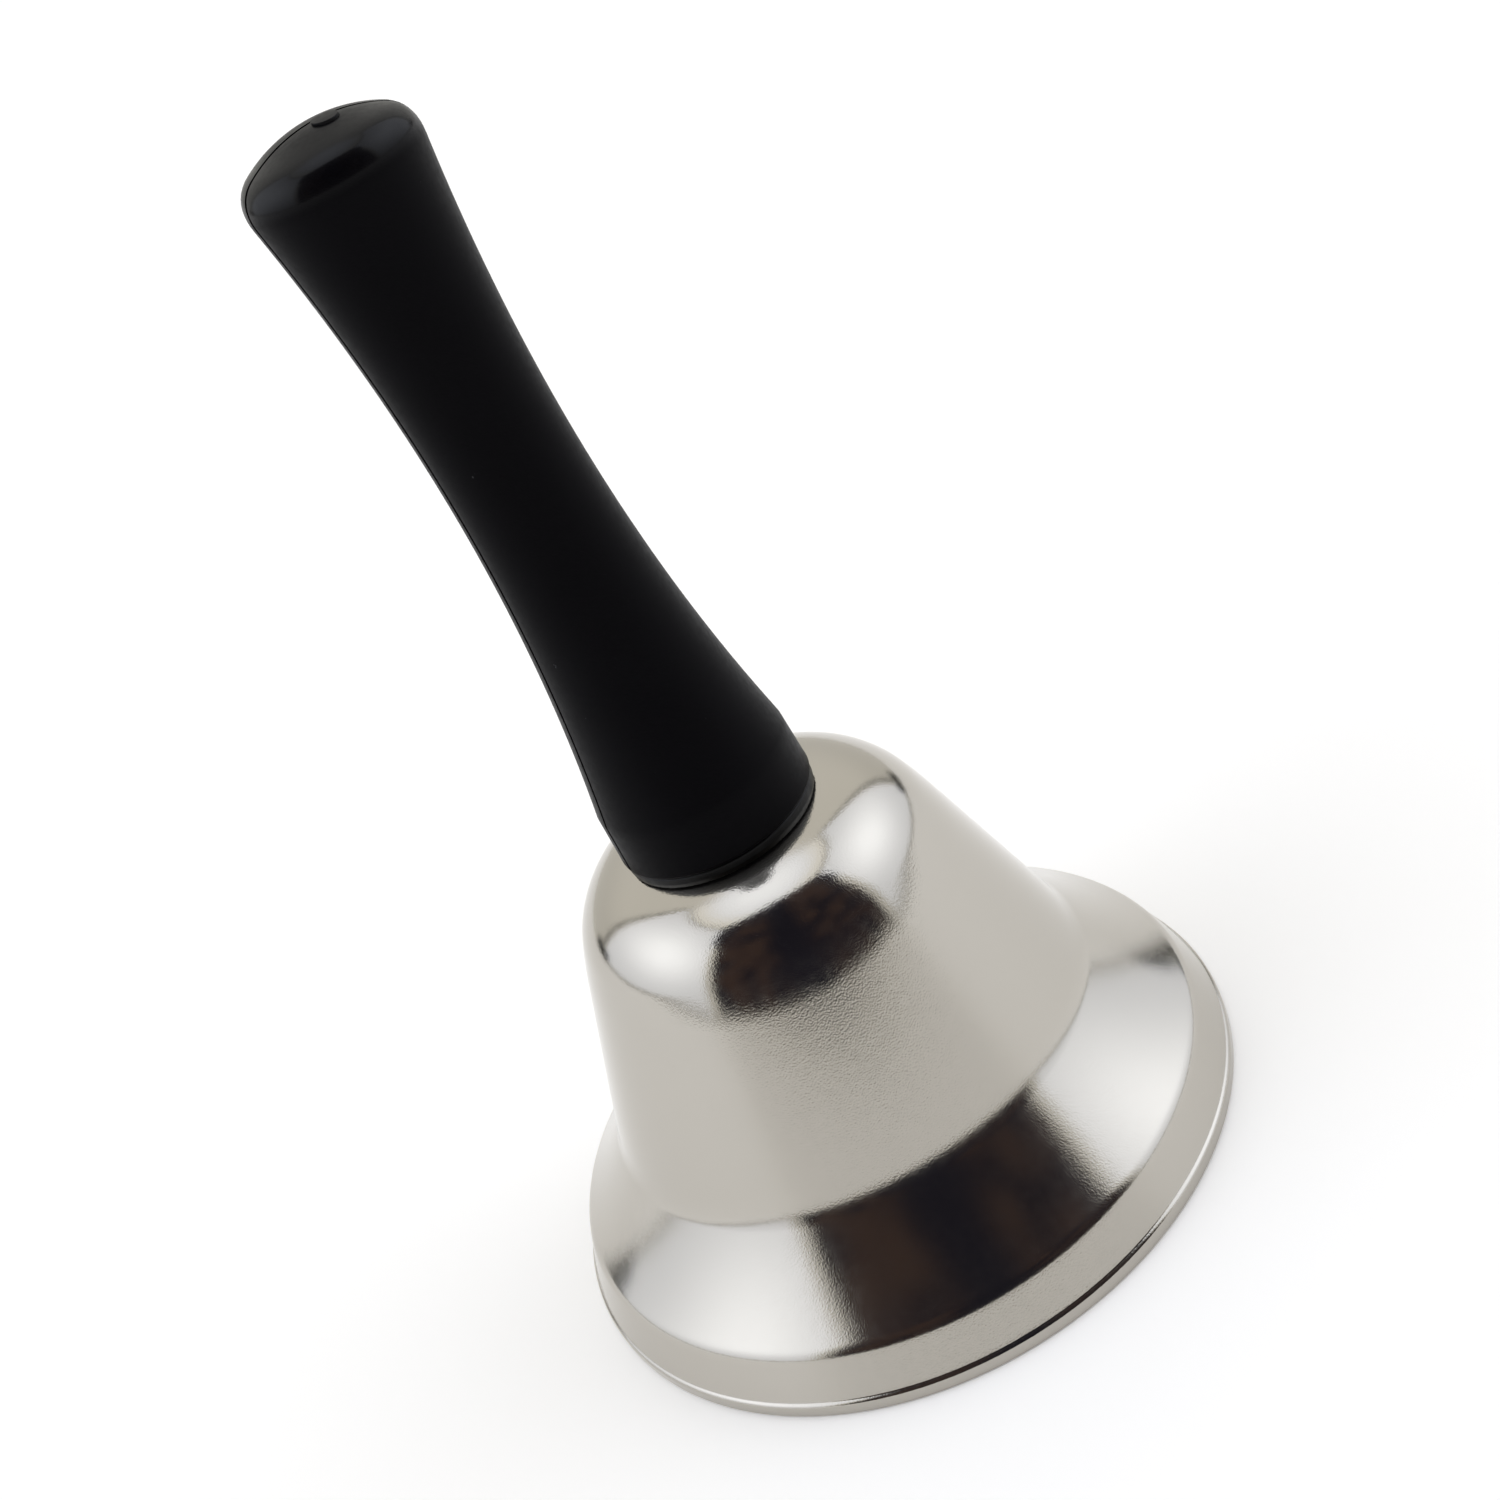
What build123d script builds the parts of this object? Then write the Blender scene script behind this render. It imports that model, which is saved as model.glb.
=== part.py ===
"""Hand-held service bell: nickel-plated steel shell, two-part moulded handle, hanging clapper.

Frame: millimetres, origin at the centre of the mouth where the rim rests, +Z up the handle.
The bell faces -Y. The handle's parting plane is turned a little about Z from the XZ plane.
"""
import os
from math import cos, radians, sin, sqrt, tan

from build123d import *

# ---- driving dimensions, shell --------------------------------------------------------------
RIM_RADIUS = 40.0           # outside of the hem, the widest place
CROWN_HEIGHT = 48.6         # outer top of the shell, where the handle sits
CROWN_FLAT = 9.2            # radius of the flat seat on the crown
SHEET = 0.9                 # wall of the drawn sheet
SHOULDER_RADIUS = 12.0      # curve between the crown and the waist
SHOULDER_LEAN = 23.0        # lean from vertical where that curve slackens, degrees
HIP_CURVE = 60.0            # slacker curve that runs into the straight waist
WAIST_LEAN = 18.6           # lean of the straight waist from vertical, degrees
FLARE_HEIGHT = 16.9         # where the waist turns into the hollow skirt
FLARE_CURVE = 52.0
FLARE_BLEND = 4.0
EDGE_RADIUS = 37.7          # sharp edge between the skirt and the lip band
EDGE_HEIGHT = 6.7
EDGE_BLEND = 0.5
HEM_HEIGHT = 1.75           # folded hem at the mouth
HEM_WIDTH = 1.9
HEM_STEP = 0.4              # how far the hem stands out from the band
HEM_ROUND = 0.25

# ---- driving dimensions, handle -------------------------------------------------------------
TOP_HEIGHT = 128.85         # height of the whole bell
COLLAR_RADIUS = 11.0
COLLAR_THICKNESS = 0.75
COLLAR_ROUND = 0.3
BASE_RADIUS = 11.2          # handle where it meets the collar
BASE_ROUND = 0.4
LAND_HEIGHT = 6.15          # short steep land above the base
GRIP_RADIUS = 6.95          # narrowest place of the grip
GRIP_HEIGHT = 96.0
FLANK_CURVE = 206.0         # long hollow curve of the handle's side
DOME_CURVE = 15.1           # crown of the handle's end
DOME_ROUND = 4.4
HANDLE_WALL = 1.8
BASE_PLATE = 2.0
WEB = 1.5
NUT_WEBS = (53.4, 58.3)     # lower faces of the two webs that hold the nut
UPPER_WEBS = (78.0, 96.0, 112.0)
CAVITY_DOME = 3.0           # plastic left above the cavity
SEAM_TURN = 9.0             # parting plane, degrees about Z from the XZ plane
SEAM_SHIFT = 1.2            # and how far it lies in front of the axis
LEAN = 0.62                 # the handle sits a little askew: degrees, along the parting plane
LEAN_HEIGHT = 30.0          # where the leaning axis crosses the bell's own
SEAM_WIDTH = 0.5
SEAM_DEPTH = 0.3
POST_HEIGHTS = (70.0, 104.0)
POST_RADIUS = 2.2
PIN_RADIUS = 1.2
PIN_LENGTH = 2.5
PIN_PLAY = 0.05
GATE_PLACE = (1.3, -2.45)   # raised moulding mark on the dome, trimmed at the parting line
GATE_RADIUS = 1.3
GATE_RISE = 0.25

# ---- driving dimensions, fixings ------------------------------------------------------------
BOLT_RADIUS = 2.0           # M4
BOLT_PLAY = 0.15
FOOT_PLAY = 0.2             # bolt in the handle's foot
BOLT_TOP = 61.5
THREAD_PITCH = 0.7
THREAD_DEPTH = 0.35
THREAD_BASE = 50.0
NUT_FLATS = 7.0
NUT_HEIGHT = 3.2
NUT_CHAMFER = 0.45
WASHER_RADIUS = 6.0
WASHER_THICKNESS = 1.0
SPRING_RADIUS = 3.8
SPRING_THICKNESS = 0.9
SPRING_GAP = 0.8
FLANGE_RADIUS = 3.2
FLANGE_THICKNESS = 1.0

# ---- driving dimensions, hanger and clapper -------------------------------------------------
EYE_WIRE = 1.0              # each link of the hanger: radius of its wire and of its loop
EYE_LOOP = 2.4
LINK_WIRE = 0.7
LINK_LOOP = 2.9
ROD_WIRE = 0.8
ROD_LOOP = 2.0
HANG_PLAY = 0.1             # gap between two links
BALL_RADIUS = 7.5
BALL_HEIGHT = 10.0
PEEN_RADIUS = 1.5
PEEN_HEIGHT = 0.8

# ---- heights that follow --------------------------------------------------------------------
BASE_HEIGHT = CROWN_HEIGHT + COLLAR_THICKNESS
WASHER_TOP = CROWN_HEIGHT - SHEET
SPRING_TOP = WASHER_TOP - WASHER_THICKNESS
FLANGE_TOP = SPRING_TOP - SPRING_THICKNESS
FLANGE_LOW = FLANGE_TOP - FLANGE_THICKNESS
EYE_CENTRE = FLANGE_LOW - 0.6 * EYE_WIRE - EYE_LOOP
EYE_PIVOT = EYE_CENTRE - EYE_LOOP
LINK_CENTRE = EYE_PIVOT + EYE_WIRE + LINK_WIRE + HANG_PLAY - LINK_LOOP
LINK_PIVOT = LINK_CENTRE - LINK_LOOP
ROD_CENTRE = LINK_PIVOT + LINK_WIRE + ROD_WIRE + HANG_PLAY - ROD_LOOP
BOLT_HOLE = BOLT_RADIUS + BOLT_PLAY

PROFILE = Plane.XZ          # sketch plane: local x is radius, local y is height
UPWARD = (Align.CENTER, Align.CENTER, Align.MIN)


# ---- helpers --------------------------------------------------------------------------------
def turned(face):
    """Revolve a flat (radius, height) face about the bell's axis."""
    return revolve(PROFILE * face, Axis.Z)


def disc(radius, low, high, hole=0.0):
    """Round disc between two heights, with an optional hole."""
    solid = Pos(0, 0, low) * Cylinder(radius, high - low, align=UPWARD)
    if hole:
        solid -= Pos(0, 0, low - 1) * Cylinder(hole, high - low + 2, align=UPWARD)
    return solid


def rounded(face, radius, corners):
    """Round the corners of a (radius, height) face that lie at the given points."""
    chosen = [v for v in face.vertices() for x, y in corners if abs(v.X - x) + abs(v.Y - y) < 1e-4]
    return fillet(chosen, radius)


# ---- shell ----------------------------------------------------------------------------------
def shell_line():
    """Outer line of the sheet, from the bolt hole over the shoulder and down to the hem."""
    lean = radians(WAIST_LEAN)
    centre = Vector(CROWN_FLAT, CROWN_HEIGHT - SHOULDER_RADIUS)
    crown_edge = (CROWN_FLAT, CROWN_HEIGHT)
    turn = radians(SHOULDER_LEAN)
    hip_centre = centre - Vector(cos(turn), sin(turn)) * (HIP_CURVE - SHOULDER_RADIUS)
    waist_top = hip_centre + Vector(cos(lean), sin(lean)) * HIP_CURVE
    waist_low = (waist_top.X + (waist_top.Y - FLARE_HEIGHT) * tan(lean), FLARE_HEIGHT)
    edge = (EDGE_RADIUS, EDGE_HEIGHT)
    with BuildLine() as line:
        Line((BOLT_HOLE, CROWN_HEIGHT), crown_edge)
        CenterArc(centre, SHOULDER_RADIUS, SHOULDER_LEAN, 90 - SHOULDER_LEAN)
        CenterArc(hip_centre, HIP_CURVE, WAIST_LEAN, SHOULDER_LEAN - WAIST_LEAN)
        Line(waist_top, waist_low)
        RadiusArc(waist_low, edge, -FLARE_CURVE)
        Line(edge, (RIM_RADIUS - HEM_STEP, HEM_HEIGHT - HEM_ROUND))
        fillet([v for v in line.vertices() if abs(v.Y - FLARE_HEIGHT) < 1e-4], FLARE_BLEND)
        fillet([v for v in line.vertices() if abs(v.Y - EDGE_HEIGHT) < 1e-4], EDGE_BLEND)
    return line.wires()[0]


def bell_shell():
    """Drawn sheet with a folded hem that stands a little outside the lip band."""
    wall = turned(make_face(offset(shell_line(), SHEET, side=Side.RIGHT).edges()))
    inner = RIM_RADIUS - HEM_WIDTH
    section = Pos(RIM_RADIUS - HEM_WIDTH / 2, HEM_HEIGHT / 2) * Rectangle(HEM_WIDTH, HEM_HEIGHT)
    corners = [(RIM_RADIUS, 0), (RIM_RADIUS, HEM_HEIGHT), (inner, 0), (inner, HEM_HEIGHT)]
    return wall + turned(rounded(section, HEM_ROUND, corners))


# ---- handle ---------------------------------------------------------------------------------
def flank_radius(height):
    """Radius of the grip at a height, on its long hollow curve."""
    rise = height - GRIP_HEIGHT
    return GRIP_RADIUS + FLANK_CURVE - sqrt(FLANK_CURVE ** 2 - rise ** 2)


def handle_face(inset, low, top):
    """Half section of the handle, its side inset by a wall, between two heights."""
    land = BASE_HEIGHT + LAND_HEIGHT
    dome_centre = top - DOME_CURVE
    corner = flank_radius(top - 3.0) - inset
    corner_height = dome_centre + sqrt(DOME_CURVE ** 2 - corner ** 2)
    middle = corner / 2
    base = (BASE_RADIUS - inset, low)
    knee = (flank_radius(land) - inset, land)
    waist = (GRIP_RADIUS - inset, GRIP_HEIGHT)
    shoulder = (corner, corner_height)
    side = [
        Line((0, low), base),
        Line(base, knee),
        ThreePointArc(knee, waist, shoulder),
        ThreePointArc(shoulder, (middle, dome_centre + sqrt(DOME_CURVE ** 2 - middle ** 2)), (0, top)),
        Line((0, top), (0, low)),
    ]
    return rounded(make_face(side), max(DOME_ROUND - inset, 0.8), [shoulder])


def leaned(shape):
    """The shape tipped towards -X by the handle's lean."""
    return Pos(0, 0, LEAN_HEIGHT) * Rot(0, -LEAN, 0) * Pos(0, 0, -LEAN_HEIGHT) * shape


def handle_outside(inset=0.0):
    """Whole outer shape of the handle, or the same shape drawn in by an inset."""
    face = handle_face(inset, BASE_HEIGHT + inset, TOP_HEIGHT - inset)
    if not inset:
        face = rounded(face, BASE_ROUND, [(BASE_RADIUS, BASE_HEIGHT)])
    return leaned(turned(face))


def handle_cavity():
    """Hollow of the handle, less the cross webs, nut pocket ribs and locating posts."""
    floor = BASE_HEIGHT + BASE_PLATE
    space = leaned(turned(handle_face(HANDLE_WALL, floor, TOP_HEIGHT - CAVITY_DOME)))
    for low in NUT_WEBS + UPPER_WEBS:
        space -= disc(2 * BASE_RADIUS, low, low + WEB)
    gap = NUT_WEBS[1] - NUT_WEBS[0] - WEB
    for side in (-1, 1):
        rib = Box(WEB, 2 * BASE_RADIUS, gap, align=UPWARD)
        space -= Pos(side * (NUT_FLATS + WEB) / 2, 0, NUT_WEBS[0] + WEB) * rib
    for height in POST_HEIGHTS:
        space -= Pos(0, 0, height) * Rot(90, 0, 0) * Cylinder(POST_RADIUS, 2 * BASE_RADIUS)
    return space


def seam_groove():
    """Fine groove that the two mouldings leave along the parting line."""
    slab = Pos(0, -SEAM_SHIFT, 0) * Box(3 * BASE_RADIUS, SEAM_WIDTH, 3 * TOP_HEIGHT)
    return slab - handle_outside(SEAM_DEPTH)


def handle_body():
    """Both mouldings as one, before they are parted."""
    column = Pos(*GATE_PLACE, TOP_HEIGHT - 2) * Cylinder(GATE_RADIUS, 4, align=UPWARD)
    gate = handle_outside(-GATE_RISE) & leaned(column)
    body = handle_outside() + gate - handle_cavity() - seam_groove()
    return body - disc(BOLT_RADIUS + FOOT_PLAY, BASE_HEIGHT - 1, NUT_WEBS[1] + WEB + 1)


def locating_pins(play=0.0):
    """Pins across the parting plane, drawn as the pins or, with play, as their sockets."""
    length = PIN_LENGTH + play
    pin = Rot(90, 0, 0) * Cylinder(PIN_RADIUS + play, length)
    return [Pos(0, -SEAM_SHIFT - length / 2, height) * pin for height in POST_HEIGHTS]


def handle_halves():
    """Front and rear mouldings, turned so that the parting plane sits as on the real handle."""
    size = 3 * BASE_RADIUS
    body = handle_body()
    block = Box(size, size, 2 * TOP_HEIGHT)
    front = body & (Pos(0, -SEAM_SHIFT - size / 2, TOP_HEIGHT / 2) * block)
    rear = body & (Pos(0, -SEAM_SHIFT + size / 2, TOP_HEIGHT / 2) * block)
    for socket in locating_pins(PIN_PLAY):
        front -= socket
    for pin in locating_pins():
        rear += pin
    turn = Rot(0, 0, SEAM_TURN)
    return turn * front, turn * rear


def base_collar():
    """Soft washer under the handle: its top leans with the handle, its underside follows the crown."""
    washer = disc(COLLAR_RADIUS, CROWN_HEIGHT - SHEET, BASE_HEIGHT)
    washer = leaned(fillet(washer.edges().group_by(Axis.Z)[-1], COLLAR_ROUND))
    low = CROWN_HEIGHT - SHOULDER_RADIUS
    crown = turned(make_face([
        Line((0, low), (0, CROWN_HEIGHT)),
        Line((0, CROWN_HEIGHT), (CROWN_FLAT, CROWN_HEIGHT)),
        CenterArc((CROWN_FLAT, low), SHOULDER_RADIUS, 0, 90),
        Line((CROWN_FLAT + SHOULDER_RADIUS, low), (0, low)),
    ]))
    hole = disc(BOLT_HOLE, CROWN_HEIGHT - 1, BASE_HEIGHT + 1)
    return Rot(0, 0, SEAM_TURN) * (washer - crown - hole)


# ---- fixings --------------------------------------------------------------------------------
def handle_nut():
    """Hexagon nut held between the handle's lower webs."""
    low = NUT_WEBS[0] + WEB
    corner = NUT_FLATS / 2 / cos(radians(30))
    nut = Pos(0, 0, low) * extrude(RegularPolygon(corner, 6, rotation=30), NUT_HEIGHT)
    cone = turned(rounded(
        Pos(corner / 2, low + NUT_HEIGHT / 2) * Rectangle(corner, NUT_HEIGHT), NUT_CHAMFER,
        [(corner, low), (corner, low + NUT_HEIGHT)]))
    nut = (nut & cone) - disc(BOLT_RADIUS, low - 1, low + NUT_HEIGHT + 1)
    return Rot(0, 0, SEAM_TURN) * nut


def crown_washer():
    """Flat washer under the crown."""
    return disc(WASHER_RADIUS, SPRING_TOP, WASHER_TOP, BOLT_HOLE)


def spring_washer():
    """Split spring washer, flat as it is when the bolt is tight."""
    split = Pos(SPRING_RADIUS, 0, FLANGE_TOP) * Rot(20, 0, 0) * Box(2 * SPRING_RADIUS, SPRING_GAP, 4)
    return disc(SPRING_RADIUS, FLANGE_TOP, SPRING_TOP, BOLT_HOLE) - split


def thread_cuts():
    """Grooves of the bolt's thread, one ring for each turn."""
    root = BOLT_RADIUS - THREAD_DEPTH
    cuts = []
    height = THREAD_BASE
    while height < BOLT_TOP - THREAD_PITCH:
        groove = Polygon(
            (BOLT_RADIUS + 0.1, height), (root, height + THREAD_PITCH / 2),
            (BOLT_RADIUS + 0.1, height + 0.9 * THREAD_PITCH), align=None)
        cuts.append(turned(groove))
        height += THREAD_PITCH
    return cuts


def eye_bolt():
    """Bolt from inside the crown up into the handle's nut, with a flange and an eye below."""
    bolt = disc(BOLT_RADIUS, FLANGE_LOW, BOLT_TOP) + disc(FLANGE_RADIUS, FLANGE_LOW, FLANGE_TOP)
    bolt = chamfer(bolt.edges().group_by(Axis.Z)[-1], THREAD_DEPTH)
    for cut in thread_cuts():
        bolt -= cut
    return bolt + Pos(0, 0, EYE_CENTRE) * Rot(90, 0, 0) * Torus(EYE_LOOP, EYE_WIRE)


# ---- hanger and clapper ---------------------------------------------------------------------
def clapper_link():
    """Closed wire ring that hangs in the bolt's eye, square to it."""
    return Pos(0, 0, LINK_CENTRE) * Rot(0, 90, 0) * Torus(LINK_LOOP, LINK_WIRE)


def clapper_rod():
    """Wire rod with a closed loop at the top and a peened end below the ball."""
    low = BALL_HEIGHT - BALL_RADIUS
    loop = Pos(0, 0, ROD_CENTRE) * Rot(90, 0, 0) * Torus(ROD_LOOP, ROD_WIRE)
    rod = disc(ROD_WIRE, low, ROD_CENTRE - ROD_LOOP)
    peen = disc(PEEN_RADIUS, low - PEEN_HEIGHT / 2, low + PEEN_HEIGHT / 2)
    peen = fillet(peen.edges().group_by(Axis.Z)[0], PEEN_HEIGHT / 2)
    return loop + rod + peen


def clapper_ball():
    """Turned steel ball, drilled through, with a small flat where the peened end seats."""
    flat = BALL_HEIGHT - BALL_RADIUS + PEEN_HEIGHT / 2
    ball = Pos(0, 0, BALL_HEIGHT) * Sphere(BALL_RADIUS)
    ball -= disc(PEEN_RADIUS, flat - 2, flat)
    return ball - disc(ROD_WIRE, 0, 2 * BALL_HEIGHT)


# ---- write the parts ------------------------------------------------------------------------
front_half, rear_half = handle_halves()
parts = {
    "bell_shell": bell_shell(),
    "base_collar": base_collar(),
    "handle_front_half": front_half,
    "handle_rear_half": rear_half,
    "handle_nut": handle_nut(),
    "eye_bolt": eye_bolt(),
    "crown_washer": crown_washer(),
    "spring_washer": spring_washer(),
    "clapper_link": clapper_link(),
    "clapper_rod": clapper_rod(),
    "clapper_ball": clapper_ball(),
}

os.makedirs("parts", exist_ok=True)
for name, solid in parts.items():
    export_step(solid, f"parts/{name}.step")
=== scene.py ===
"""Looks of the service bell: nickel-plated shell, black moulded handle and hanging clapper.

Outlines are (radius, height) pairs in millimetres from the centre of the mouth, as in the CAD part.
"""
import math

import bmesh
import bpy
from mathutils import Matrix, Vector


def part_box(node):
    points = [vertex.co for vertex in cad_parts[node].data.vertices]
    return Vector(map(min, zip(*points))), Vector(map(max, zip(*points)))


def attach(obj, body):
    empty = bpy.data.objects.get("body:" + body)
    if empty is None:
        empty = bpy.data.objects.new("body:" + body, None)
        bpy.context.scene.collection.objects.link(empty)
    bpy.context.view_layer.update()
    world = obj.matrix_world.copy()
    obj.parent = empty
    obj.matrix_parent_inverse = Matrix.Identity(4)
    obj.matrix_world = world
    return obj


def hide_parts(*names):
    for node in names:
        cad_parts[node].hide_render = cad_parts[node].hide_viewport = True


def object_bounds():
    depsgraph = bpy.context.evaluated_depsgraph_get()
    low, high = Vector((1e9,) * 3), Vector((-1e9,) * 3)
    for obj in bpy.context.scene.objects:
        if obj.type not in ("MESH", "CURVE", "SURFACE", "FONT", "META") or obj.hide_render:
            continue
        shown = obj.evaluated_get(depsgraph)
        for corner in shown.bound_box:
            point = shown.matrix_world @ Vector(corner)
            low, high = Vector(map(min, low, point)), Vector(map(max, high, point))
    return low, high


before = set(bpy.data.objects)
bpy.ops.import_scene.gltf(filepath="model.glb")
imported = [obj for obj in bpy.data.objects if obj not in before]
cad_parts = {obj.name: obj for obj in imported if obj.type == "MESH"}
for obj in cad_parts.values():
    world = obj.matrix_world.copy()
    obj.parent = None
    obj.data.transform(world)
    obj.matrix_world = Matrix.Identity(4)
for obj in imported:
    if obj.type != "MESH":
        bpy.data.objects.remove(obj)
cad_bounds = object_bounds()

MM = 0.001
SHARP_ANGLE = 32.0

# ---- shell ----------------------------------------------------------------------------------
RIM_RADIUS = -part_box("bell_shell")[0].x / MM
CROWN_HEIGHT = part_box("bell_shell")[1].z / MM
CROWN_FLAT = 9.2
SHEET = 0.9
SHOULDER_RADIUS = 12.0
SHOULDER_LEAN = 23.0
HIP_CURVE = 60.0
WAIST_LEAN = 18.6
FLARE_HEIGHT = 16.9
FLARE_CURVE = 52.0
FLARE_EASE = 0.9
EDGE_RADIUS = 37.7
EDGE_HEIGHT = 6.7
EDGE_EASE = 0.35
HEM_HEIGHT = 1.85
HEM_WIDTH = 1.9
HEM_STEP = 0.4
HEM_ROUND = 0.3
HEM_INNER_ROUND = 0.2
CREASE_CURVE = 0.3
CREASE_LEAN = 58.0
BOLT_HOLE = 2.15

# ---- handle ---------------------------------------------------------------------------------
TOP_HEIGHT = 128.85
BASE_HEIGHT = CROWN_HEIGHT + 0.75
BASE_RADIUS = 11.2
LAND_HEIGHT = 6.15
GRIP_RADIUS = 6.95
GRIP_HEIGHT = 96.0
FLANK_CURVE = 206.0
DOME_CURVE = 15.1
DOME_DROP = 3.0
DOME_EASE = 2.55
HANDLE_WALL = 1.8
FOOT_PLATE = 2.0
FOOT_ROUND = 0.4
CAVITY_EASE = 1.0
CAVITY_DOME = 3.0
SEAM_TURN = 9.0
SEAM_SHIFT = 1.2
LEAN = 0.62
LEAN_HEIGHT = 30.0
SEAM_WIDTH = 0.5
SEAM_DEPTH = 0.3
GATE_PLACE = (1.3, -2.45)
GATE_RADIUS = 1.29
GATE_RISE = 0.24
GATE_ROOT = 0.6
GATE_BEVEL = 0.06

# ---- light, in degrees round from the front (side) and up from the horizon (rise) -----------
TENT_LEVEL = 1.04
FRONT_TURN = 1.0
BOX_SIDE = (57, 128)
BOX_RISE = (2, 61)
BOX_CORE = (90, 35)
BOX_SPREAD = (34, 21)
BOX_LEVEL = 1.1
BOX_GLOW = 0.82
WALL_LEVEL = 0.9
TOP_LEVEL = (1.18, 1.68)
TOP_RISE = (62, 74)
OPENING_SIDE = 52
OPENING_WIDENS = 6
OPENING_CROWN = 71
OPENING_SILL = (1.6, 2.6)
FLOOR_REACH = 25.0

# ---- camera, from the centre of the mouth ---------------------------------------------------
CAMERA_BACK = 184.3
CAMERA_UP = 152.9
CAMERA_TURN = -1.88
CAMERA_DOWN = 28.38
CAMERA_ROLL = -29.24
CAMERA_LENS = 48.0


# ---- outlines -------------------------------------------------------------------------------
def arc(centre, radius, start, end, steps):
    """Points of a circular arc between two angles in degrees."""
    angles = [math.radians(start + (end - start) * i / steps) for i in range(steps + 1)]
    return [(centre[0] + radius * math.cos(a), centre[1] + radius * math.sin(a)) for a in angles]


def straight(start, end, steps):
    """Points of a straight run, both ends included."""
    return [(start[0] + (end[0] - start[0]) * i / steps, start[1] + (end[1] - start[1]) * i / steps)
            for i in range(steps + 1)]


def hollow(start, end, radius, steps):
    """Points of an arc that sags inwards between two points of a line going out and down."""
    run = Vector((end[0] - start[0], end[1] - start[1]))
    reach = math.sqrt(radius ** 2 - (run.length / 2) ** 2)
    side = Vector((-run.y, run.x)).normalized()
    centre = Vector(start) + run / 2 + side * reach
    first = math.degrees(math.atan2(start[1] - centre.y, start[0] - centre.x))
    last = math.degrees(math.atan2(end[1] - centre.y, end[0] - centre.x))
    return arc(centre, radius, first, last, steps)


def eased(line, corner, reach, steps):
    """The same line with the corner nearest a point rounded over a reach on each side."""
    peak = min(line, key=lambda p: math.dist(p, corner))
    middle = line.index(peak)
    before = [p for p in line[:middle] if math.dist(p, peak) > reach]
    after = [p for p in line[middle + 1:] if math.dist(p, peak) > reach]
    enter, leave = Vector(before[-1]), Vector(after[0])
    inward = (enter - Vector(before[-2])).normalized()
    outward = (leave - Vector(after[1])).normalized()
    crossing = (leave - enter).cross(outward) / inward.cross(outward)
    control = enter + inward * crossing
    bend = []
    for i in range(1, steps):
        t = i / steps
        bend.append(tuple(enter * (1 - t) ** 2 + control * 2 * t * (1 - t) + leave * t ** 2))
    return before + bend + after


def inset(line, distance):
    """A line at a constant distance to the right of another one."""
    moved = []
    for i, point in enumerate(line):
        along = Vector(line[min(i + 1, len(line) - 1)]) - Vector(line[max(i - 1, 0)])
        along.normalize()
        moved.append((point[0] + along.y * distance, point[1] - along.x * distance))
    return moved


# ---- mesh building --------------------------------------------------------------------------
def finish_mesh(name, mesh):
    """Turn a bmesh into an object with smooth faces and sharp edges above the sharp angle."""
    bmesh.ops.recalc_face_normals(mesh, faces=mesh.faces)
    for face in mesh.faces:
        face.smooth = True
    for edge in mesh.edges:
        edge.smooth = edge.is_manifold and edge.calc_face_angle() < math.radians(SHARP_ANGLE)
    data = bpy.data.meshes.new(name)
    mesh.to_mesh(data)
    mesh.free()
    piece = bpy.data.objects.new(name, data)
    bpy.context.scene.collection.objects.link(piece)
    return piece


def lathe_mesh(loop, turns):
    """Revolve a closed outline about the bell's axis. Points on the axis become single vertices."""
    mesh = bmesh.new()
    rings = []
    for radius, height in loop:
        if radius < 1e-6:
            rings.append([mesh.verts.new((0, 0, height * MM))] * turns)
            continue
        ring = []
        for step in range(turns):
            angle = 2 * math.pi * step / turns
            corner = Vector((radius * math.cos(angle), radius * math.sin(angle), height))
            ring.append(mesh.verts.new(corner * MM))
        rings.append(ring)
    for low, high in zip(rings, rings[1:] + rings[:1]):
        for step in range(turns):
            after = (step + 1) % turns
            corners = list(dict.fromkeys([low[step], low[after], high[after], high[step]]))
            if len(corners) > 2:
                mesh.faces.new(corners)
    return mesh


def lathe(name, loop, turns=240):
    """Object made by revolving a closed outline."""
    return finish_mesh(name, lathe_mesh(loop, turns))


def combine(piece, other, operation):
    """Join another solid to one, or cut it away, and remove it."""
    modifier = piece.modifiers.new("combine", "BOOLEAN")
    modifier.operation = operation
    modifier.solver = "EXACT"
    modifier.object = other
    bpy.context.view_layer.update()
    evaluated = piece.evaluated_get(bpy.context.evaluated_depsgraph_get())
    result = bpy.data.meshes.new_from_object(evaluated)
    piece.modifiers.clear()
    old = piece.data
    piece.data = result
    bpy.data.meshes.remove(old)
    bpy.data.objects.remove(other)


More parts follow.
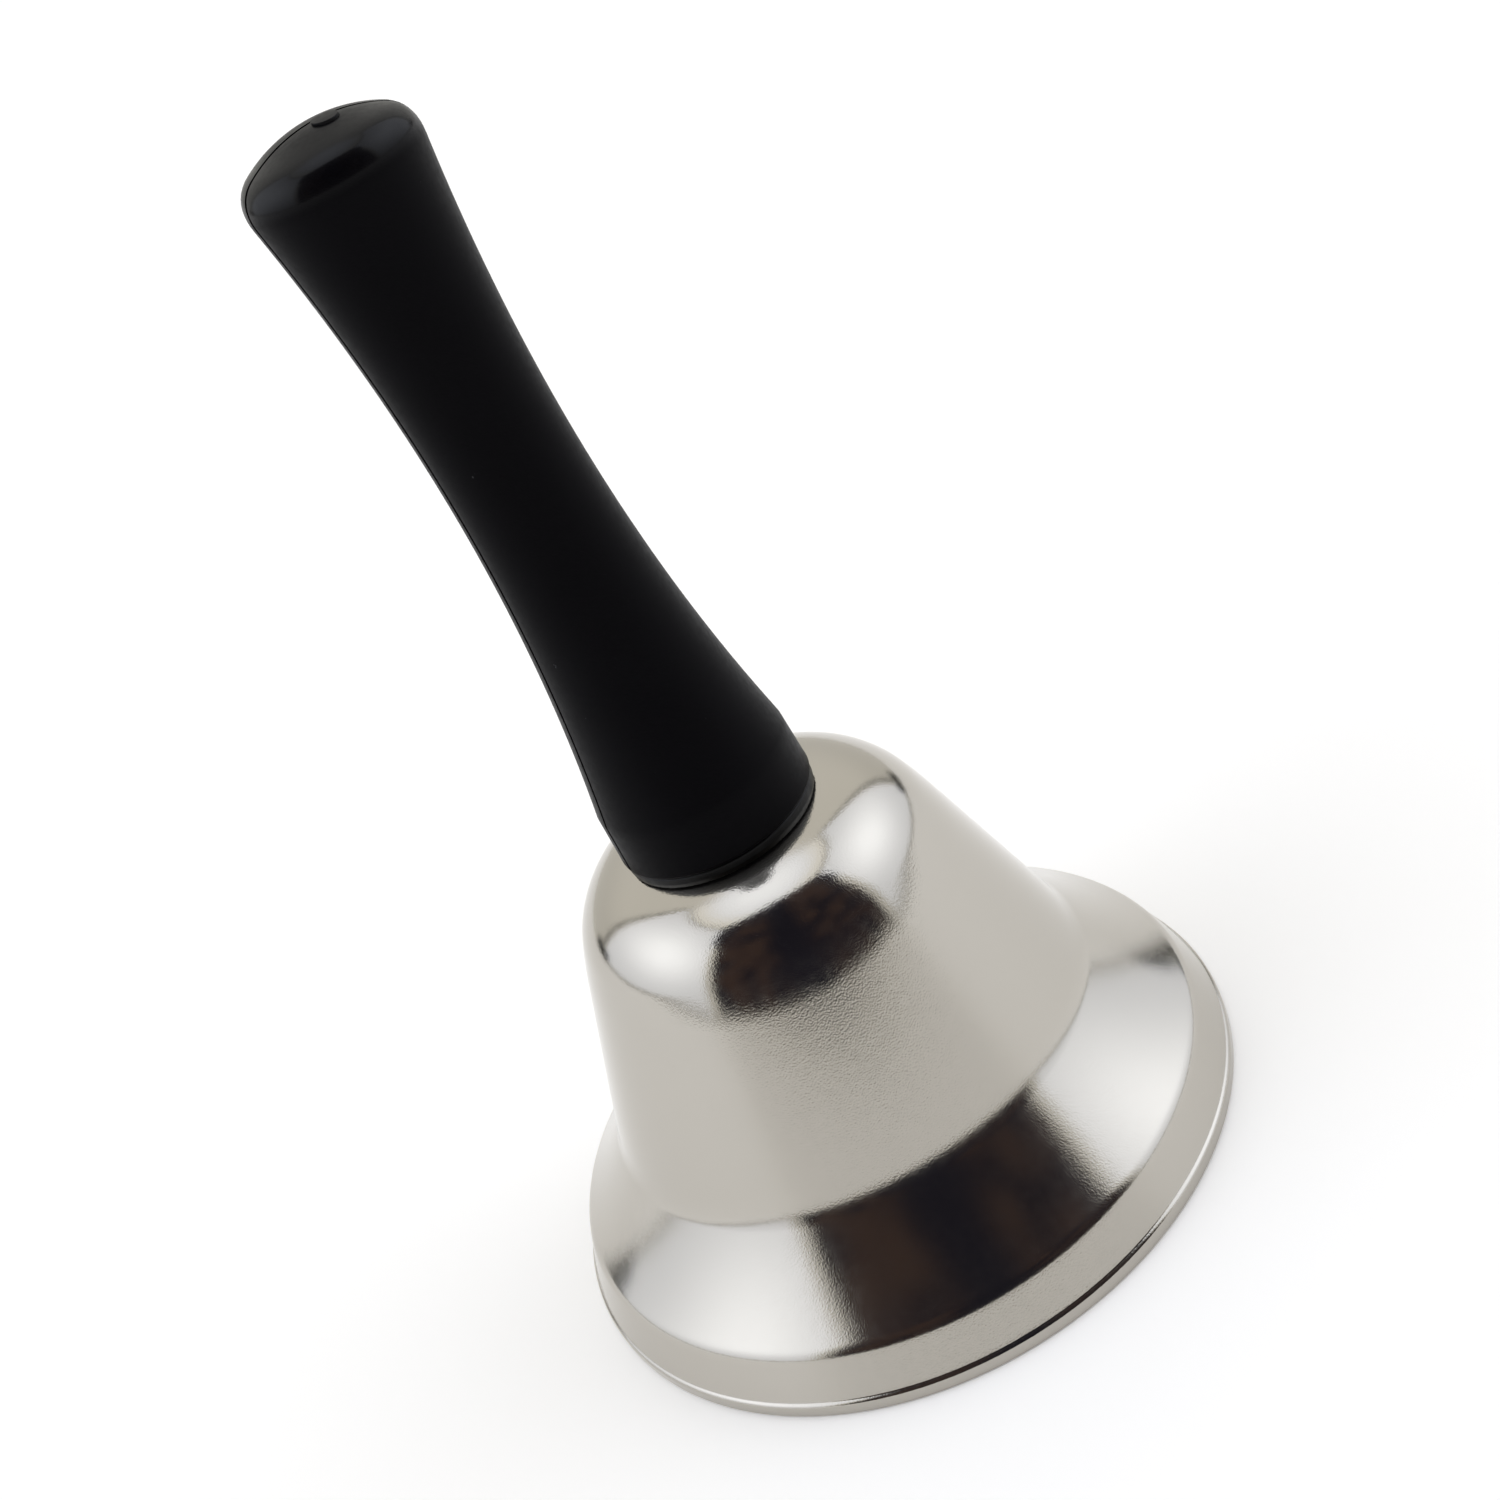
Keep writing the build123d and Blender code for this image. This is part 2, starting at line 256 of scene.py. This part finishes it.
# ---- shell ----------------------------------------------------------------------------------
def shell_line():
    """Outer line of the sheet, from the bolt hole over the shoulder and down to the hem."""
    centre = (CROWN_FLAT, CROWN_HEIGHT - SHOULDER_RADIUS)
    crown = straight((BOLT_HOLE, CROWN_HEIGHT), (CROWN_FLAT, CROWN_HEIGHT), 3)
    shoulder = arc(centre, SHOULDER_RADIUS, 90, SHOULDER_LEAN, 40)
    back = math.radians(SHOULDER_LEAN)
    reach = HIP_CURVE - SHOULDER_RADIUS
    hip_centre = (centre[0] - reach * math.cos(back), centre[1] - reach * math.sin(back))
    hip = arc(hip_centre, HIP_CURVE, SHOULDER_LEAN, WAIST_LEAN, 12)
    top = hip[-1]
    low = (top[0] + (top[1] - FLARE_HEIGHT) * math.tan(math.radians(WAIST_LEAN)), FLARE_HEIGHT)
    skirt = hollow(low, (EDGE_RADIUS, EDGE_HEIGHT), FLARE_CURVE, 40)
    band = straight(skirt[-1], (RIM_RADIUS - HEM_STEP, HEM_HEIGHT), 8)
    line = crown[:-1] + shoulder + hip[1:] + straight(top, low, 24)[1:-1] + skirt + band[1:]
    line = eased(line, low, FLARE_EASE, 12)
    return eased(line, (EDGE_RADIUS, EDGE_HEIGHT), EDGE_EASE, 6)


def hem_line():
    """Outline of the folded hem: soft crease under the band, round edges and a flat foot."""
    out, inside = RIM_RADIUS, RIM_RADIUS - HEM_WIDTH
    start = (out - HEM_STEP, HEM_HEIGHT)
    lean = math.atan2(start[0] - EDGE_RADIUS, EDGE_HEIGHT - start[1])
    centre = (start[0] + CREASE_CURVE * math.cos(lean), start[1] + CREASE_CURVE * math.sin(lean))
    crease = arc(centre, CREASE_CURVE, 180 + math.degrees(lean), 180 + CREASE_LEAN, 6)
    flattest = math.cos(math.radians(CREASE_LEAN))
    lip = (out - crease[-1][0]) / (1 - flattest)
    lip_centre = (out - lip, crease[-1][1] - lip * math.sin(math.radians(CREASE_LEAN)))
    line = crease[1:] + arc(lip_centre, lip, CREASE_LEAN, 0, 12)[1:]
    line += arc((out - HEM_ROUND, HEM_ROUND), HEM_ROUND, 0, -90, 6)
    line += arc((inside + HEM_ROUND, HEM_ROUND), HEM_ROUND, -90, -180, 6)
    top_centre = (inside + HEM_INNER_ROUND, HEM_HEIGHT - HEM_INNER_ROUND)
    return line + arc(top_centre, HEM_INNER_ROUND, 180, 90, 5)


def bell_shell():
    """Sheet-metal shell with its folded hem, inside and outside."""
    outer = shell_line()
    inner = [p for p in inset(outer, SHEET) if p[1] > HEM_HEIGHT]
    return lathe("shell", outer + hem_line() + inner[::-1])


# ---- handle ---------------------------------------------------------------------------------
def flank_radius(height):
    """Radius of the grip at a height, on its long hollow curve."""
    return GRIP_RADIUS + FLANK_CURVE - math.sqrt(FLANK_CURVE ** 2 - (height - GRIP_HEIGHT) ** 2)


def handle_line(thin, base, top, ease):
    """Side of the handle from its foot to the middle of the dome, drawn in by a thickness."""
    knee = BASE_HEIGHT + LAND_HEIGHT
    shoulder = top - DOME_DROP
    heights = [knee + (shoulder - knee) * i / 160 for i in range(161)]
    flank = [(flank_radius(z) - thin, z) for z in heights]
    dome_centre = top - DOME_CURVE
    edge = math.degrees(math.acos(flank[-1][0] / DOME_CURVE))
    dome = arc((0, dome_centre), DOME_CURVE, edge, 90, 60)
    line = straight((BASE_RADIUS - thin, base), flank[0], 6) + flank[1:] + dome[1:-1] + [(0, top)]
    return eased(line, flank[-1], ease, 10)


def handle_solid():
    """The handle before it is parted, with its hollow inside."""
    outer = handle_line(0.0, BASE_HEIGHT, TOP_HEIGHT, DOME_EASE)
    floor = BASE_HEIGHT + FOOT_PLATE
    inner = handle_line(HANDLE_WALL, floor, TOP_HEIGHT - CAVITY_DOME, CAVITY_EASE)
    foot = arc((BASE_RADIUS - FOOT_ROUND, BASE_HEIGHT + FOOT_ROUND), FOOT_ROUND, -90, 0, 6)
    loop = [(BOLT_HOLE, BASE_HEIGHT)] + foot + outer[1:] + inner[::-1] + [(BOLT_HOLE, floor)]
    return lathe("handle", loop, 192)


def seam_cutter():
    """Slab on the parting plane, hollowed by a thinner handle, that leaves the seam groove."""
    inner = handle_line(SEAM_DEPTH, BASE_HEIGHT + SEAM_DEPTH, TOP_HEIGHT - SEAM_DEPTH, DOME_EASE)
    core = lathe("core", [(0, BASE_HEIGHT + SEAM_DEPTH)] + inner, 192)
    mesh = bmesh.new()
    bmesh.ops.create_cube(mesh, size=1.0)
    size = Vector((3 * BASE_RADIUS, SEAM_WIDTH, 2 * (TOP_HEIGHT - BASE_HEIGHT)))
    middle = Vector((0, -SEAM_SHIFT, (TOP_HEIGHT + BASE_HEIGHT) / 2))
    bmesh.ops.scale(mesh, verts=mesh.verts, vec=size * MM)
    bmesh.ops.translate(mesh, verts=mesh.verts, vec=middle * MM)
    slab = finish_mesh("seam_cutter", mesh)
    combine(slab, core, "DIFFERENCE")
    return slab


def gate_mark():
    """Low round pip left by the mould near the top of the dome, following its curve."""
    mesh = bmesh.new()
    rings = [(GATE_RADIUS, -GATE_ROOT), (GATE_RADIUS, GATE_RISE - GATE_BEVEL),
             (GATE_RADIUS - GATE_BEVEL, GATE_RISE), (GATE_RADIUS * 0.6, GATE_RISE),
             (GATE_RADIUS * 0.3, GATE_RISE)]
    turns = 48
    loops = []
    for radius, rise in rings:
        loop = []
        for step in range(turns):
            angle = 2 * math.pi * step / turns
            x = GATE_PLACE[0] + radius * math.cos(angle)
            y = GATE_PLACE[1] + radius * math.sin(angle)
            sag = DOME_CURVE - math.sqrt(DOME_CURVE ** 2 - x ** 2 - y ** 2)
            loop.append(mesh.verts.new(Vector((x, y, TOP_HEIGHT - sag + rise)) * MM))
        loops.append(loop)
    for low, high in zip(loops, loops[1:]):
        for step in range(turns):
            after = (step + 1) % turns
            mesh.faces.new((low[step], low[after], high[after], high[step]))
    mesh.faces.new(loops[0])
    mesh.faces.new(loops[-1])
    return finish_mesh("gate", mesh)


def handle_half(name, whole, side):
    """One moulding: the part of the handle on one side of the parting plane, closed by its face."""
    mesh = bmesh.new()
    mesh.from_mesh(whole.data)
    everything = mesh.verts[:] + mesh.edges[:] + mesh.faces[:]
    sliced = bmesh.ops.bisect_plane(mesh, geom=everything, plane_co=(0, -SEAM_SHIFT * MM, 0),
                                    plane_no=(0, side, 0), clear_inner=True, dist=1e-7)
    rim = [e for e in sliced["geom_cut"] if isinstance(e, bmesh.types.BMEdge)]
    bmesh.ops.triangle_fill(mesh, edges=rim, use_beauty=True)
    lean = Matrix.Rotation(math.radians(-LEAN), 3, "Y")
    turn = Matrix.Rotation(math.radians(SEAM_TURN), 3, "Z")
    bmesh.ops.rotate(mesh, verts=mesh.verts, cent=(0, 0, LEAN_HEIGHT * MM), matrix=turn @ lean)
    return finish_mesh(name, mesh)


def handle_halves():
    """Front and rear mouldings with the gate mark and the seam groove between them."""
    whole = handle_solid()
    combine(whole, gate_mark(), "UNION")
    combine(whole, seam_cutter(), "DIFFERENCE")
    front = handle_half("handle_front", whole, -1)
    rear = handle_half("handle_rear", whole, 1)
    bpy.data.objects.remove(whole)
    return front, rear


# ---- materials ------------------------------------------------------------------------------
def calc(tree, operation, *values):
    """Add a math node fed by sockets or plain numbers."""
    node = tree.nodes.new("ShaderNodeMath")
    node.operation = operation
    for socket, value in zip(node.inputs, values):
        if isinstance(value, bpy.types.NodeSocket):
            tree.links.new(value, socket)
        else:
            socket.default_value = value
    return node.outputs[0]


def remap(tree, value, low, high, start, end, smooth=False):
    """Map a value from one span to another."""
    node = tree.nodes.new("ShaderNodeMapRange")
    node.interpolation_type = "SMOOTHSTEP" if smooth else "LINEAR"
    tree.links.new(value, node.inputs["Value"])
    for name, number in zip(("From Min", "From Max", "To Min", "To Max"), (low, high, start, end)):
        node.inputs[name].default_value = number
    return node.outputs["Result"]


def blend_colour(tree, amount, first, second):
    """Mix two colours, each a socket or an RGB value."""
    node = tree.nodes.new("ShaderNodeMix")
    node.data_type = "RGBA"
    tree.links.new(amount, node.inputs["Factor"])
    for socket, value in ((node.inputs[6], first), (node.inputs[7], second)):
        if isinstance(value, bpy.types.NodeSocket):
            tree.links.new(value, socket)
        else:
            socket.default_value = (*value, 1)
    return node.outputs[2]


def noise(tree, scale, detail, roughness=0.5):
    """Noise over the object's own space, scale in cells per metre."""
    place = tree.nodes.new("ShaderNodeTexCoord")
    texture = tree.nodes.new("ShaderNodeTexNoise")
    texture.inputs["Scale"].default_value = scale
    texture.inputs["Detail"].default_value = detail
    texture.inputs["Roughness"].default_value = roughness
    tree.links.new(place.outputs["Object"], texture.inputs["Vector"])
    return texture.outputs["Fac"]


def height_of(tree):
    """Height on the object, in metres."""
    place = tree.nodes.new("ShaderNodeTexCoord")
    split = tree.nodes.new("ShaderNodeSeparateXYZ")
    tree.links.new(place.outputs["Object"], split.inputs[0])
    return split.outputs["Z"]


def bumped(tree, shader, layers):
    """Chain bump nodes: each layer is a height socket and its depth in millimetres."""
    normal = None
    for height, depth in layers:
        bump = tree.nodes.new("ShaderNodeBump")
        bump.inputs["Distance"].default_value = depth * MM
        tree.links.new(height, bump.inputs["Height"])
        if normal:
            tree.links.new(normal, bump.inputs["Normal"])
        normal = bump.outputs["Normal"]
    tree.links.new(normal, shader.inputs["Normal"])


def new_material(name, metallic, **plain):
    """Material with a principled shader, and the values that are the same all over it."""
    material = bpy.data.materials.new(name)
    material.use_nodes = True
    shader = material.node_tree.nodes["Principled BSDF"]
    shader.inputs["Metallic"].default_value = metallic
    for key, value in plain.items():
        shader.inputs[key.replace("_", " ")].default_value = value
    return material, material.node_tree, shader


def nickel_plate():
    """Bright nickel over steel sheet with a fine orange peel, a little duller on the skirt."""
    material, tree, shader = new_material("nickel_plate", 1.0)
    cloud = noise(tree, 60, 3)
    tree.links.new(blend_colour(tree, cloud, (0.46, 0.436, 0.39), (0.485, 0.458, 0.41)),
                   shader.inputs["Base Color"])
    duller = remap(tree, height_of(tree), FLARE_HEIGHT * MM, (FLARE_HEIGHT + 3) * MM, 0.03, 0.0, True)
    grain = remap(tree, noise(tree, 900, 3, 0.6), 0.3, 0.7, 0.09, 0.13)
    tree.links.new(calc(tree, "ADD", grain, duller), shader.inputs["Roughness"])
    bumped(tree, shader, [(noise(tree, 4800, 1), 0.0075)])
    return material


def black_plastic():
    """Satin black moulding, glossier round the dome's edge, with a fine grain and a few scuffs."""
    material, tree, shader = new_material("black_handle", 0.0, Specular_IOR_Level=0.045,
                                          Coat_Roughness=0.14)
    cloud = noise(tree, 90, 3)
    plain = blend_colour(tree, cloud, (0.0012, 0.001, 0.0016), (0.0024, 0.0021, 0.0031))
    scuff = remap(tree, noise(tree, 420, 4, 0.7), 0.72, 0.76, 0, 1)
    tree.links.new(blend_colour(tree, scuff, plain, (0.05, 0.05, 0.055)), shader.inputs["Base Color"])
    tree.links.new(remap(tree, noise(tree, 1500, 3), 0.3, 0.7, 0.36, 0.46), shader.inputs["Roughness"])
    height = height_of(tree)
    glossy = remap(tree, height, (TOP_HEIGHT - 5.4) * MM, (TOP_HEIGHT - 3.4) * MM, 0.0, 0.28, True)
    worn = remap(tree, height, (TOP_HEIGHT - 1.5) * MM, (TOP_HEIGHT - 0.4) * MM, 1.0, 0.35, True)
    tree.links.new(calc(tree, "MULTIPLY", glossy, worn), shader.inputs["Coat Weight"])
    bumped(tree, shader, [(noise(tree, 350, 2), 0.005), (noise(tree, 3200, 2), 0.004)])
    return material


def black_washer():
    """Matt black moulded washer."""
    material, tree, shader = new_material("black_washer", 0.0, Specular_IOR_Level=0.2)
    tree.links.new(blend_colour(tree, noise(tree, 300, 3), (0.001, 0.001, 0.0012), (0.003, 0.003, 0.0033)),
                   shader.inputs["Base Color"])
    tree.links.new(remap(tree, noise(tree, 1200, 3), 0.3, 0.7, 0.3, 0.45), shader.inputs["Roughness"])
    bumped(tree, shader, [(noise(tree, 1800, 2), 0.006)])
    return material


def plated_steel(name, tint, rough, grain):
    """Steel fixings with a thin plated skin and slight colour clouds."""
    material, tree, shader = new_material(name, 1.0)
    cloud = noise(tree, 400, 3)
    warm = (tint[0] * 0.93, tint[1] * 0.9, tint[2] * 0.82)
    tree.links.new(blend_colour(tree, cloud, warm, tint), shader.inputs["Base Color"])
    tree.links.new(remap(tree, noise(tree, 1500, 3), 0.3, 0.7, *rough), shader.inputs["Roughness"])
    bumped(tree, shader, [(noise(tree, grain, 2), 0.006)])
    return material


# ---- build ----------------------------------------------------------------------------------
def dress(piece, node, slot_name, *materials):
    """Let a piece stand for a CAD node, with its materials."""
    for material in materials:
        piece.data.materials.append(material)
    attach(piece, "bell")
    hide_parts(node)
    return piece


def build_bell():
    """The detailed pieces that stand for the visible CAD nodes."""
    outside = nickel_plate()
    black = black_plastic()
    dress(bell_shell(), "bell_shell", "nickel_plate", outside)
    front, rear = handle_halves()
    dress(front, "handle_front_half", "black_handle", black)
    dress(rear, "handle_rear_half", "black_handle", black)


def paint_fixings():
    """Materials of the CAD nodes that are shown as they are."""
    zinc = plated_steel("zinc_steel", (0.55, 0.56, 0.57), (0.24, 0.36), 2200)
    ball = plated_steel("ball_steel", (0.56, 0.55, 0.53), (0.16, 0.26), 1500)
    looks = {"clapper_ball": ball, "base_collar": black_washer()}
    for name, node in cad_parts.items():
        if node.hide_render:
            continue
        node.data.materials.clear()
        node.data.materials.append(looks.get(name, zinc))


# ---- light and stage ------------------------------------------------------------------------
def above(tree, value, low, soft):
    """1 above a limit and 0 below it, with a soft edge."""
    return remap(tree, value, low - soft, low + soft, 0, 1, True)


def below(tree, value, high, soft):
    """1 below a limit and 0 above it, with a soft edge."""
    return remap(tree, value, high - soft, high + soft, 1, 0, True)


def within(tree, value, low, high, soft):
    """1 between two limits and 0 outside them, with soft edges."""
    return calc(tree, "MULTIPLY", above(tree, value, low, soft), below(tree, value, high, soft))


def square(tree, value, middle, width):
    """Squared distance of a value from a middle, in widths."""
    away = calc(tree, "DIVIDE", calc(tree, "SUBTRACT", value, middle), width)
    return calc(tree, "POWER", away, 2)


def side_and_rise(tree, direction):
    """Degrees round from the front, the same to the left and right, and degrees up."""
    split = tree.nodes.new("ShaderNodeSeparateXYZ")
    tree.links.new(direction, split.inputs[0])
    x, y, z = split.outputs
    bearing = calc(tree, "DEGREES", calc(tree, "ARCTAN2", x, calc(tree, "MULTIPLY", y, -1)))
    side = calc(tree, "ABSOLUTE", calc(tree, "ADD", bearing, FRONT_TURN))
    return side, calc(tree, "DEGREES", calc(tree, "ARCSINE", z))


def wall_level(tree, side, rise):
    """Brightness of the tent's walls, and of its paler top, which starts lower over the boxes."""
    top = remap(tree, rise, 60, 86, *TOP_LEVEL, True)
    wall = calc(tree, "MULTIPLY", remap(tree, rise, *TOP_RISE, WALL_LEVEL, 0, True),
                remap(tree, rise, 10, 34, 0.85, 1, True))
    level = calc(tree, "ADD", wall, calc(tree, "MULTIPLY", top, remap(tree, rise, *TOP_RISE, 0, 1, True)))
    over = calc(tree, "MULTIPLY", below(tree, side, BOX_SIDE[1], 2), above(tree, rise, 62.5, 1.5))
    return calc(tree, "MULTIPLY_ADD", calc(tree, "SUBTRACT", top, level), over, level)


def box_level(tree, side, rise):
    """Brightness of the boxes, strongest in their middle."""
    away = calc(tree, "ADD", square(tree, side, BOX_CORE[0], BOX_SPREAD[0]),
                square(tree, rise, BOX_CORE[1], BOX_SPREAD[1]))
    core = calc(tree, "EXPONENT", calc(tree, "MULTIPLY", away, -1))
    return calc(tree, "MULTIPLY_ADD", core, BOX_GLOW, BOX_LEVEL)


def opening_mask(tree, side, rise):
    """The arched opening in front, a little wider towards its crown."""
    arch = calc(tree, "MULTIPLY_ADD", square(tree, side, 0, OPENING_SIDE + 5), -9, OPENING_CROWN)
    under_arch = below(tree, calc(tree, "SUBTRACT", rise, arch), 0, 1)
    narrowed = calc(tree, "ADD", side, remap(tree, rise, 42, 52, 0, -OPENING_WIDENS, True))
    over_sill = remap(tree, rise, *OPENING_SILL, 0, 1, True)
    return calc(tree, "MULTIPLY", below(tree, narrowed, OPENING_SIDE, 1),
                calc(tree, "MULTIPLY", under_arch, over_sill))


def trim_mask(tree, side, rise):
    """Dark lines round the boxes: far edge, its wider foot, upper edge and the gap underneath."""
    strips = [(within(tree, side, 129.5, 132.5, 0.8), within(tree, rise, 0, 60, 1.5), 0.6),
              (within(tree, side, 124.5, 137, 2), within(tree, rise, 0, 6, 2.5), 0.95),
              (within(tree, side, 56, 130, 1), within(tree, rise, 60.9, 62.4, 0.5), 0.55),
              (within(tree, side, 50, 126, 1), within(tree, rise, 0.4, 2.2, 0.4), 0.4)]
    darkest = 0.0
    for across, upright, strength in strips:
        strip = calc(tree, "MULTIPLY", calc(tree, "MULTIPLY", across, upright), strength)
        darkest = calc(tree, "MAXIMUM", strip, darkest)
    return darkest


def room_colour(tree, direction, side):
    """Dark room seen through the opening, browner towards both sides, in blotches."""
    blotch = tree.nodes.new("ShaderNodeTexNoise")
    blotch.inputs["Scale"].default_value = 5
    tree.links.new(direction, blotch.inputs["Vector"])
    brown = calc(tree, "MULTIPLY", within(tree, side, 14, 50, 9),
                 remap(tree, blotch.outputs["Fac"], 0.38, 0.62, 0.1, 1.1))
    return blend_colour(tree, brown, (0.017, 0.016, 0.024), (0.064, 0.042, 0.036))


def tent_light():
    """Soft white tent: a bright box on each side, a dark arched opening in front, a paler top."""
    world = bpy.data.worlds.new("tent")
    bpy.context.scene.world = world
    world.use_nodes = True
    tree = world.node_tree
    tree.nodes.clear()
    direction = tree.nodes.new("ShaderNodeTexCoord").outputs["Generated"]
    side, rise = side_and_rise(tree, direction)

    box = calc(tree, "MULTIPLY", within(tree, side, *BOX_SIDE, 1), within(tree, rise, *BOX_RISE, 2.5))
    wall = wall_level(tree, side, rise)
    lit = calc(tree, "SUBTRACT", box_level(tree, side, rise), wall)
    level = calc(tree, "MULTIPLY_ADD", lit, box, wall)
    opening = opening_mask(tree, side, rise)
    clear = calc(tree, "SUBTRACT", 1.0, calc(tree, "MAXIMUM", opening, trim_mask(tree, side, rise)))
    level = calc(tree, "MULTIPLY", calc(tree, "MULTIPLY", level, clear), TENT_LEVEL)

    cool = calc(tree, "MAXIMUM", box, remap(tree, rise, *TOP_RISE, 0, 1, True))
    cloth = tree.nodes.new("ShaderNodeVectorMath")
    cloth.operation = "SCALE"
    tree.links.new(blend_colour(tree, cool, (1.0, 0.985, 0.93), (0.97, 1.01, 1.1)), cloth.inputs[0])
    tree.links.new(level, cloth.inputs["Scale"])
    tent = blend_colour(tree, opening, cloth.outputs[0], room_colour(tree, direction, side))
    seen = tree.nodes.new("ShaderNodeLightPath").outputs["Is Camera Ray"]
    background = tree.nodes.new("ShaderNodeBackground")
    output = tree.nodes.new("ShaderNodeOutputWorld")
    tree.links.new(blend_colour(tree, seen, tent, (1, 1, 1)), background.inputs["Color"])
    tree.links.new(background.outputs[0], output.inputs["Surface"])


def pale_floor():
    """Plain pale floor under the mouth of the bell, with a slight glow of its own."""
    mesh = bmesh.new()
    bmesh.ops.create_grid(mesh, x_segments=2, y_segments=2, size=FLOOR_REACH)
    floor = finish_mesh("floor", mesh)
    floor.location.z = cad_bounds[0][2]
    material, tree, shader = new_material("floor", 0.0, Roughness=0.53, Specular_IOR_Level=0.5,
                                          Emission_Color=(1, 0.98, 0.95, 1), Emission_Strength=0.14)
    tree.links.new(blend_colour(tree, noise(tree, 6, 2), (0.965, 0.945, 0.91), (0.975, 0.955, 0.92)),
                   shader.inputs["Base Color"])
    floor.data.materials.append(material)


def place_camera():
    """Camera at the front, above, and rolled so that the bell leans to the left."""
    data = bpy.data.cameras.new("camera")
    data.lens = CAMERA_LENS
    data.sensor_width = 36.0
    data.clip_start = 0.01
    camera = bpy.data.objects.new("camera", data)
    bpy.context.scene.collection.objects.link(camera)
    turn = Matrix.Rotation(math.radians(CAMERA_TURN), 4, "Z")
    tilt = Matrix.Rotation(math.radians(90 - CAMERA_DOWN), 4, "X")
    roll = Matrix.Rotation(math.radians(CAMERA_ROLL), 4, "Z")
    place = Matrix.Translation(Vector((0, -CAMERA_BACK, CAMERA_UP)) * MM)
    camera.matrix_world = place @ turn @ tilt @ roll
    bpy.context.scene.camera = camera


build_bell()
paint_fixings()
tent_light()
pale_floor()
place_camera()
bpy.context.scene.view_settings.view_transform = "Standard"
